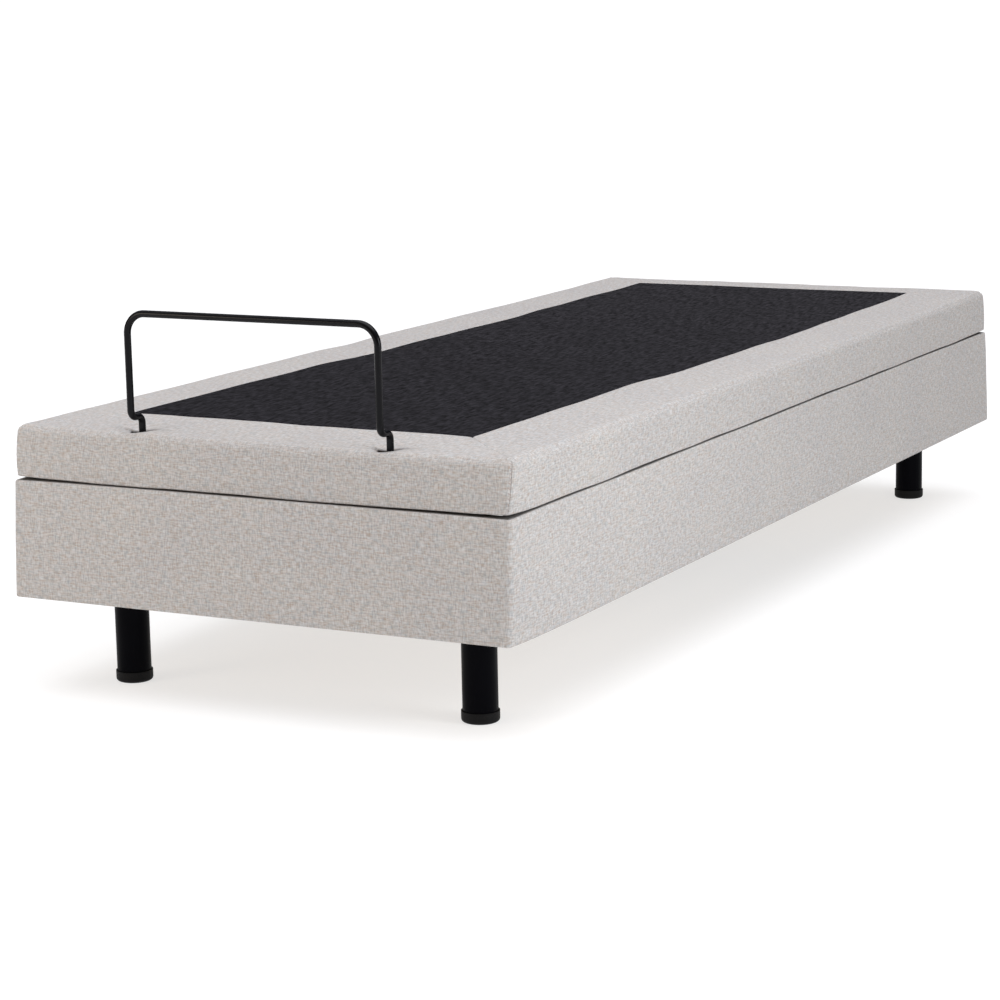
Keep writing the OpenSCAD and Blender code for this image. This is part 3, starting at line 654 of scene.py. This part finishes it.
def deck_block():
    """The whole deck cover as one grid: top, sides, both ends and the hem turned under."""
    slit_lips = (post_y - deck_lo.y + np.array([-0.8, 0.8]) * MM) / border_foot
    behind = even(slit_lips[1], 0.47, 0.012)
    before = even(0.07, slit_lips[0], 0.012)
    coarse = graded(30)
    coarse = coarse[(coarse < before[0] - 0.004) | (coarse > behind[-1] + 0.004)]
    share = joined(coarse, before, behind)
    posts = [side * post_x + even(-60 * MM, 60 * MM, 2.4 * MM) for side in (-1, 1)]
    tuck = [side * (grip_hi.x - np.array([2, 4, 8]) * MM) for side in (-1, 1)]
    borders = [side * (half_w - share * border_side) for side in (-1, 1)]
    xs = joined(even(-grip_hi.x, grip_hi.x, 24 * MM), *posts, *tuck, *borders)
    foot = deck_lo.y + share * border_foot
    head = deck_hi.y - share * border_head
    tuck_ends = [foot[-1] + np.array([2, 4]) * MM, head[-1] - np.array([2, 4]) * MM]
    ys = joined(foot, head, *bed_runs(foot[-1], head[-1]), *tuck_ends)
    zs = deck_z0 + (deck_z1 - deck_z0) * graded(28)
    block = Block(xs, ys, zs)
    nx, ny, nz = len(xs) - 1, len(ys) - 1, len(zs) - 1

    def hem(a, b):
        x, y = (xs[a] + xs[a + 1]) / 2, (ys[b] + ys[b + 1]) / 2
        return half_w - abs(x) < hem_w or deck_half_len - abs(y) < hem_w

    def unslit(a, b):
        middle = np.array([[(xs[a] + xs[a + 1]) / 2, (ys[b] + ys[b + 1]) / 2, deck_z1]])
        along, dy = slit_frame(middle)
        return abs(along[0]) > slit_half or abs(dy[0]) > 0.5 * MM

    block.wall(2, nz, nx, ny, False, unslit)
    block.wall(0, nx, ny, nz, False)
    block.wall(0, 0, ny, nz, True)
    block.wall(1, 0, nx, nz, False)
    block.wall(1, ny, nx, nz, True)
    block.wall(2, 0, nx, ny, True, hem)
    return block


def cut_out(points, faces, uvs, values, y_lo, y_hi):
    """One stretch of the deck: its points, and its faces with the points numbered afresh."""
    middle = np.array([np.mean([points[v][1] for v in loop]) for loop in faces])
    chosen = np.nonzero((middle > y_lo) & (middle < y_hi))[0]
    used = np.unique(np.concatenate([faces[i] for i in chosen]))
    number = {int(old): new for new, old in enumerate(used)}
    loops = [[number[int(v)] for v in faces[i]] for i in chosen]
    coordinates = [pair for i in chosen for pair in uvs[i]]
    return used, loops, coordinates, {key: numbers[used] for key, numbers in values.items()}


def deck_pieces():
    """Cover pieces by name, cut where nothing bends."""
    block = deck_block()
    sharp = np.array(block.points)
    mitre, corner_seam = mitre_distance(sharp), upright_distance(sharp)
    made = deck_surface(sharp)
    on_top = sharp[:, 2] > deck_z1 - hair
    turned_under = (sharp[:, 2] < deck_z0 + hair) * smooth((edge_distance(sharp) - 4 * MM) / (3 * MM))
    values = {
        "seam": np.minimum(np.minimum(mitre, corner_seam), 20 * MM),
        "stitch": bell(corner_seam, 14 * MM) * (np.abs(sharp[:, 1]) > deck_half_len - hair),
        # Painted shade: in the crease from each slit, and on the hem turned under the deck where the gap to the
        # box lies in shade
        "fold": np.where(on_top, fold_mark(sharp), 0.9 * turned_under),
    }
    pieces = {}
    for part, (y_lo, y_hi) in stretches.items():
        used, loops, coordinates, numbers = cut_out(sharp, block.faces, block.uvs, values, y_lo, y_hi)
        obj = make_object(f"deck_cover_{part}", made[used], loops, coordinates, numbers)
        crease_rim(obj)
        make_skin(obj, linen, skin_t)
        pieces[part] = obj
    return pieces


def panel_pieces():
    """The dark panel: nearly flat, its outer edges tucked into the border's seam."""
    near = np.array([0, 0.7, 1.5, 2.6, 4.5, 8, 12]) * MM
    tuck = 0.6 * MM
    low = grip_lo.y - tuck
    high = grip_hi.y + tuck
    side = grip_hi.x + tuck
    xs = joined(even(-side + near[-1], side - near[-1], 22 * MM), -side + near, side - near)
    ys = joined(low + near, high - near, *bed_runs(low + near[-1], high - near[-1]))
    gx, gy = np.meshgrid(xs, ys, indexing="ij")
    p = np.stack([gx.ravel(), gy.ravel(), np.full(gx.size, deck_z1)], axis=1)
    calm = held(p)
    rim = np.minimum(side - np.abs(p[:, 0]), np.minimum(p[:, 1] - low, high - p[:, 1]))
    made = p.copy()
    made[:, 2] += crown_height(p) - top_drop - sag(calm) + slow_waves(calm)
    made[:, 2] += 0.35 * MM * ripple(calm, 120 * MM, seed=21) * smooth(rim / (40 * MM))
    made[:, 2] -= 1.5 * MM * bell(rim, 1.8 * MM)
    made[:, 0] += panel_drift(calm[:, 1])
    ends = 3 * MM * sine(p[:, 0] - 20 * MM, 260 * MM)
    made[:, 1] += ends * (bell(p[:, 1] - low, 40 * MM) + bell(high - p[:, 1], 40 * MM))
    rows = len(ys)
    faces, uvs = [], []
    for i in range(len(xs) - 1):
        for j in range(rows - 1):
            ring = [i * rows + j, (i + 1) * rows + j, (i + 1) * rows + j + 1, i * rows + j + 1]
            faces.append(ring)
            uvs.append([(p[v, 0], p[v, 1]) for v in ring])
    pieces = {}
    for part, (y_lo, y_hi) in stretches.items():
        used, loops, coordinates, _ = cut_out(p, faces, uvs, {}, y_lo, y_hi)
        obj = make_object(f"deck_panel_{part}", made[used], loops, coordinates)
        crease_rim(obj)
        make_skin(obj, grip_felt, panel_t)
        pieces[part] = obj
    return pieces


back_bend = ((0, back_hinge_y - 5 * MM, hinge_z), (0, back_hinge_y + 145 * MM, hinge_z + 60 * MM))
thigh_bend = ((0, thigh_hinge_y + 5 * MM, hinge_z), (0, thigh_hinge_y - 190 * MM, hinge_z + 15 * MM))
knee_bend = ((0, knee_y + 75 * MM, hinge_z), (0, knee_y - 75 * MM, hinge_z))
# Each stretch: the bodies it joins, where its bend starts and ends, and the sections it covers
bends = {
    "head": ("base", "back", back_bend, ("back", "seat")),
    "middle": ("base", "thigh", thigh_bend, ("thigh",)),
    "foot": ("thigh", "calf", knee_bend, ("calf",)),
}
covers = deck_pieces()
panels = panel_pieces()
for part, (first, second, (start, end), sections) in bends.items():
    for obj in (covers[part], panels[part]):
        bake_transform(obj)
    for section in sections:
        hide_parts(f"{section}_cover", f"{section}_foam")
        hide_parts(f"{section}_grip")


# ---- Box cover ----

box_corner_r = 9 * MM
box_edge_r = 3 * MM
box_hem_w = 26 * MM
box_skin_t = 2.2 * MM
box_spread_top = 1 * MM
box_spread_foot = 6 * MM


def box_outline():
    """Stations round the box: the corner of the rounded rectangle each belongs to, and its way out."""
    stations = []
    corners = ((1, 1), (-1, 1), (-1, -1), (1, -1))
    for turn, (sx, sy) in enumerate(corners):
        for a in np.linspace(0, math.pi / 2, 13):
            angle = turn * math.pi / 2 + a
            stations.append((sx, sy, math.cos(angle), math.sin(angle), 0.0))
        next_sy = corners[(turn + 1) % 4][1]
        length = 2 * (half_w if sy == next_sy else box_half_len) - 2 * box_corner_r
        count = round(length / (9 * MM))
        for step in range(1, count):
            way = (turn + 1) * math.pi / 2
            stations.append((sx, sy, math.cos(way), math.sin(way), step / count))
    return stations, corners


def box_profile():
    """The cover's section from the upper hem to the lower one: (inset, height) pairs."""
    r, z0, z1 = box_edge_r, box_lo.z, box_top_z
    quarter = np.linspace(0, math.pi / 2, 6)
    top = [(d, z1) for d in even(box_hem_w, r, 5 * MM)[:-1]]
    top += [(r - r * math.sin(a), z1 - r + r * math.cos(a)) for a in quarter]
    side = [(0.0, z) for z in even(z1 - r, z0 + r, 7 * MM)[1:-1]]
    low = [(r - r * math.cos(a), z0 + r - r * math.sin(a)) for a in quarter]
    low += [(d, z0) for d in even(r, box_hem_w, 5 * MM)[1:]]
    return top + side + low


def box_rows(stations, corners, profile):
    """Points and ways out, station by station, and the travel round the box up to each station."""
    points, ways = [], []
    for sx, sy, ox, oy, share in stations:
        row = []
        for inset, z in profile:
            r = max(box_corner_r - inset, 2 * MM)
            cx, cy = half_w - inset - r, box_half_len - inset - r
            start = Vector((sx * cx + r * ox, sy * cy + r * oy))
            if share:
                nx, ny = corners[(corners.index((sx, sy)) + 1) % 4]
                start = start.lerp(Vector((nx * cx + r * ox, ny * cy + r * oy)), share)
            row.append((start.x, start.y, z))
        points += row
        ways += [(ox, oy)] * len(profile)
    # The travel ends with the step from the last station back to the first
    middle = [Vector(point) for point in points[len(profile) // 2 :: len(profile)]]
    around = [0.0]
    for here, following in zip(middle, middle[1:] + middle[:1]):
        around.append(around[-1] + (following - here).length)
    return np.array(points), np.array(ways), around


def box_shape(p, way, inset):
    """Sharp box to padded cover: bellied, uneven, spread towards the floor."""
    height = (p[:, 2] - box_lo.z) / (box_top_z - box_lo.z)
    belly = -1.0 * MM * np.abs(2 * height - 1) ** 3 - 0.3 * MM
    uneven = 0.5 * MM * ripple(p, 300 * MM, seed=31) + 0.25 * MM * ripple(p, 110 * MM, seed=32)
    move = (belly + uneven * (1 - np.abs(2 * height - 1) ** 4)) * smooth(1 - inset / (3 * MM))
    made = p.copy()
    made[:, :2] += way * move[:, None]
    spread = box_spread_foot + (box_spread_top - box_spread_foot) * height
    made[:, :2] *= 1 + spread[:, None] / np.array([half_w, box_half_len])
    made[:, 0] -= 7 * MM * near_corner(p, 60 * MM) * (1 - height) ** 2
    corner = corner_distance(p, box_half_len)
    top = smooth((height - 0.8) / 0.2)
    wave = 0.3 * MM * sine(p[:, 1], 480 * MM, p[:, 0] / (120 * MM))
    made[:, 2] -= top * (1.0 * MM * np.exp(-corner / (40 * MM)) + wave)
    return made


def box_faces(count, profile, around):
    """Faces between neighbouring stations, with their coordinates on the unrolled cover."""
    size = len(profile)
    unrolled = np.concatenate([[0], np.cumsum(np.hypot(*np.diff(np.array(profile), axis=0).T))])
    faces, uvs = [], []
    for i in range(count):
        j = (i + 1) % count
        u0, u1 = around[i], around[i + 1]
        for k in range(size - 1):
            faces.append([i * size + k, i * size + k + 1, j * size + k + 1, j * size + k])
            uvs += [(u0, unrolled[k]), (u0, unrolled[k + 1]), (u1, unrolled[k + 1]), (u1, unrolled[k])]
    return faces, uvs


def box_cover():
    """The box's cover, with painted shade on the top of the hem that is turned in below the deck."""
    stations, corners = box_outline()
    profile = box_profile()
    p, way, around = box_rows(stations, corners, profile)
    inset = np.tile([d for d, _ in profile], len(stations))
    faces, uvs = box_faces(len(stations), profile, around)
    # Painted shade on the hem's top, where the gap under the deck lies in shade
    gap_shade = 0.65 * (p[:, 2] > box_top_z - hair) * smooth((inset - 4 * MM) / (3 * MM))
    values = {"seam": np.full(len(p), 20 * MM), "fold": gap_shade}
    obj = make_object("box_cover", box_shape(p, way, inset), faces, uvs, values)
    make_skin(obj, linen, box_skin_t)
    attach(obj, "base")
    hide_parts("surround_cover")


box_cover()


# ---- Materials of the CAD parts ----

ply_t = 3 * MM


def coated_metal(name, color, roughness, gloss):
    """Powder coat: a fine orange peel with slight changes of gloss."""
    s = Shader(name)
    place = s.place()
    peel = s.noise(place, (1400, 1400, 1400), detail=1.0)
    dull = s.noise(place, (18, 18, 18), detail=3.0)
    cloud = s.between(dull, 0.3, 0.7, roughness - 0.05, roughness + 0.07)
    shade = s.mix(s.noise(place, (60, 60, 60), detail=2.0), color, times(color, 1.35))
    return s.finish(shade, cloud, s.bump(peel, 0.12 * MM, 0.5), Specular_IOR_Level=gloss)


def bare_metal(name, color, roughness):
    """Zinc plate or aluminium with fine drawn lines and dull patches."""
    s = Shader(name)
    place = s.place()
    drawn = s.noise(place, (90, 30, 900), detail=2.0)
    dull = s.noise(place, (45, 45, 45), detail=4.0)
    patch = s.between(dull, 0.3, 0.7, roughness - 0.07, roughness + 0.12)
    shade = s.mix(drawn, times(color, 0.82), color)
    return s.finish(shade, patch, s.bump(drawn, 0.06 * MM, 0.4), Metallic=1.0)


def moulded_plastic(name, color, roughness):
    """Moulded plastic with a fine eroded grain."""
    s = Shader(name)
    place = s.place()
    grain = s.noise(place, (1100, 1100, 1100), detail=2.0)
    shade = s.mix(s.noise(place, (25, 25, 25), detail=2.0), color, times(color, 1.25))
    rough = s.between(grain, 0.3, 0.7, roughness - 0.04, roughness + 0.06)
    return s.finish(shade, rough, s.bump(grain, 0.12 * MM, 0.5), Specular_IOR_Level=0.2)


def sawn_wood(name, along):
    """Planed pine: growth rings drawn out along one axis (0 for X, 1 for Y), with fine pores."""
    s = Shader(name)
    place = s.place()
    scale = [34.0, 34.0, 34.0]
    scale[along] = 1.6
    rings = s.noise(place, scale, detail=2.0, distortion=1.2)
    bands = s.between(s.math("FRACT", s.math("MULTIPLY", rings, 9.0)), 0.0, 1.0)
    pore_scale = [900.0, 900.0, 900.0]
    pore_scale[along] = 30.0
    pores = s.between(s.noise(place, pore_scale, detail=2.0), 0.35, 0.6)
    wood = s.mix(bands, rgb(0.66, 0.47, 0.26), rgb(0.50, 0.31, 0.145))
    wood = s.mix(s.math("MULTIPLY", pores, 0.35), wood, rgb(0.72, 0.55, 0.34))
    return s.finish(wood, 0.62, s.bump(pores, 0.15 * MM, 0.4), Specular_IOR_Level=0.35)


def ply_wood(name):
    """Plywood: pale face veneer with long grain, and stacked plies where an edge shows."""
    s = Shader(name)
    place = s.place()
    face = s.noise(place, (22, 2.2, 22), detail=3.0, distortion=1.6)
    figure = s.between(s.math("FRACT", s.math("MULTIPLY", face, 6.0)), 0.0, 1.0)
    fibre = s.noise(place, (700, 30, 700), detail=2.0)
    veneer = s.mix(figure, rgb(0.64, 0.47, 0.29), rgb(0.53, 0.36, 0.20))
    veneer = s.mix(s.math("MULTIPLY", fibre, 0.3), veneer, rgb(0.70, 0.54, 0.36))
    ply = s.math("FRACT", s.math("MULTIPLY", s.axis(place, "Z"), 1 / ply_t))
    stripe = s.between(ply, 0.3, 0.7)
    edge = s.mix(stripe, rgb(0.34, 0.20, 0.10), rgb(0.62, 0.45, 0.27))
    facing = s.axis(s.node("ShaderNodeTexCoord").outputs["Normal"], "Z")
    flat = s.between(s.math("ABSOLUTE", facing), 0.4, 0.6)
    color = s.mix(flat, edge, veneer)
    return s.finish(color, 0.66, s.bump(fibre, 0.12 * MM, 0.4), Specular_IOR_Level=0.3)


black_coat = coated_metal("black_powder_coat", rgb(0.0008, 0.0008, 0.0018), roughness=0.34, gloss=0.035)
bar_coat = coated_metal("retainer_powder_coat", rgb(0.0006, 0.0006, 0.0014), roughness=0.2, gloss=0.17)
grey_coat = coated_metal("grey_powder_coat", rgb(0.060, 0.062, 0.068), roughness=0.48, gloss=0.05)
zinc = bare_metal("zinc_plate", rgb(0.62, 0.63, 0.66), roughness=0.36)
aluminium = bare_metal("drawn_aluminium", rgb(0.74, 0.75, 0.77), roughness=0.30)
black_plastic = moulded_plastic("black_plastic", rgb(0.0012, 0.0012, 0.0016), roughness=0.60)
dark_plastic = moulded_plastic("dark_plastic", rgb(0.042, 0.044, 0.050), roughness=0.55)
white_nylon = moulded_plastic("white_nylon", rgb(0.66, 0.66, 0.63), roughness=0.42)
rubber = moulded_plastic("black_rubber", rgb(0.018, 0.018, 0.019), roughness=0.80)
pine_long = sawn_wood("pine_lengthways", along=1)
pine_cross = sawn_wood("pine_crossways", along=0)
plywood = ply_wood("birch_plywood")

finishes = {
    "black_metal": black_coat,
    "black_plastic": black_plastic,
    "frame_steel": grey_coat,
    "bright_steel": zinc,
    "aluminium": aluminium,
    "grey_plastic": dark_plastic,
    "nylon": white_nylon,
    "bumper_rubber": rubber,
    "lead_sheath": rubber,
    "pine": pine_long,
    "plywood": plywood,
    "linen_fabric": linen,
    "grip_fabric": grip_felt,
    "foam": lining,
}
for part in frame["record"]["subparts"]:
    obj = frame["nodes"][part["node"]]
    finish = finishes[part["material_slot"]]
    if part["node"] in ("foot_rail", "head_rail"):
        finish = pine_cross
    elif part["node"] == "retainer_bar":
        finish = bar_coat
    obj.data.materials.clear()
    obj.data.materials.append(finish)


# ---- Floor, light and camera ----


def make_floor():
    """A pale floor out to the horizon that glows a little, as a light table does."""
    half = 200
    corners = [(-half, -half, 0), (half, -half, 0), (half, half, 0), (-half, half, 0)]
    floor = make_object("floor", corners, [[0, 1, 2, 3]])
    s = Shader("studio_floor")
    cloud = s.noise(s.place(), (0.6, 0.6, 0.6), detail=1.0)
    color = s.mix(cloud, rgb(0.36, 0.36, 0.36), rgb(0.38, 0.38, 0.38))
    floor.data.materials.append(s.finish(color, 0.95, Specular_IOR_Level=0.0, Emission_Strength=0.66))
    s.bsdf.inputs["Emission Color"].default_value = (1, 1, 1, 1)


def make_world():
    """Soft studio surroundings: pale above, dim round about, lighter and warm at the foot end."""
    world = bpy.data.worlds.new("studio")
    bpy.context.scene.world = world
    world.use_nodes = True
    n = Nodes(world.node_tree)
    way = n.node("ShaderNodeTexCoord").outputs["Generated"]
    foot, head = rgb(0.250, 0.187, 0.130), rgb(0.055, 0.055, 0.06)
    walls = n.mix(n.between(n.axis(way, "Y"), -0.9, 0.1), foot, head)
    sky = n.mix(n.between(n.axis(way, "Z"), 0.15, 0.85), walls, rgb(0.57, 0.575, 0.61))
    n.link(sky, n.tree.nodes["Background"].inputs["Color"])


def sun_light(name, direction, power, color, angle):
    """Light from far away in a direction, from a disc as wide as the angle in degrees."""
    data = bpy.data.lights.new(name, "SUN")
    data.energy = power
    data.color = color
    data.angle = math.radians(angle)
    light = bpy.data.objects.new(name, data)
    bpy.context.scene.collection.objects.link(light)
    light.rotation_euler = Vector(direction).to_track_quat("Z", "Y").to_euler()


def area_light(name, place, target, size, power, color):
    """A rectangular lamp at a place, turned to its target."""
    data = bpy.data.lights.new(name, "AREA")
    data.shape = "RECTANGLE"
    data.size, data.size_y = size
    data.energy = power
    data.color = color
    light = bpy.data.objects.new(name, data)
    bpy.context.scene.collection.objects.link(light)
    light.location = place
    light.rotation_euler = (Vector(target) - Vector(place)).to_track_quat("-Z", "Y").to_euler()


camera_lens = 99.61
camera_place = (2.02336, -4.12262, 1.00889)
camera_turn = math.radians(27.685)
camera_tip = math.radians(90 - 10.798)
camera_roll = math.radians(-1.141)


def make_camera():
    """The view from beyond the foot end's right corner, with a long lens."""
    data = bpy.data.cameras.new("camera")
    camera = bpy.data.objects.new("camera", data)
    bpy.context.scene.collection.objects.link(camera)
    data.sensor_width = 36
    data.lens = camera_lens
    turn = Matrix.Rotation(camera_turn, 4, "Z")
    tip = Matrix.Rotation(camera_tip, 4, "X")
    roll = Matrix.Rotation(camera_roll, 4, "Z")
    place = Matrix.Translation(camera_place)
    camera.matrix_world = place @ turn @ tip @ roll
    bpy.context.scene.camera = camera


make_camera()
make_floor()
make_world()
sun_light("key", direction=(0.088, -0.02, 1.0), power=2.43, color=(0.97, 0.975, 1.0), angle=70)
area_light(
    "side",
    place=(1.9, -0.95, 0.85),
    target=(0.4, -0.95, 0.25),
    size=(0.7, 0.7),
    power=13.5,
    color=(0.96, 0.98, 1.0),
)
area_light(
    "foot",
    place=(-1.5, -2.6, 0.95),
    target=(-0.45, -1.0, 0.25),
    size=(0.9, 0.8),
    power=12,
    color=(1.0, 0.905, 0.79),
)
bpy.context.scene.view_settings.view_transform = "Standard"
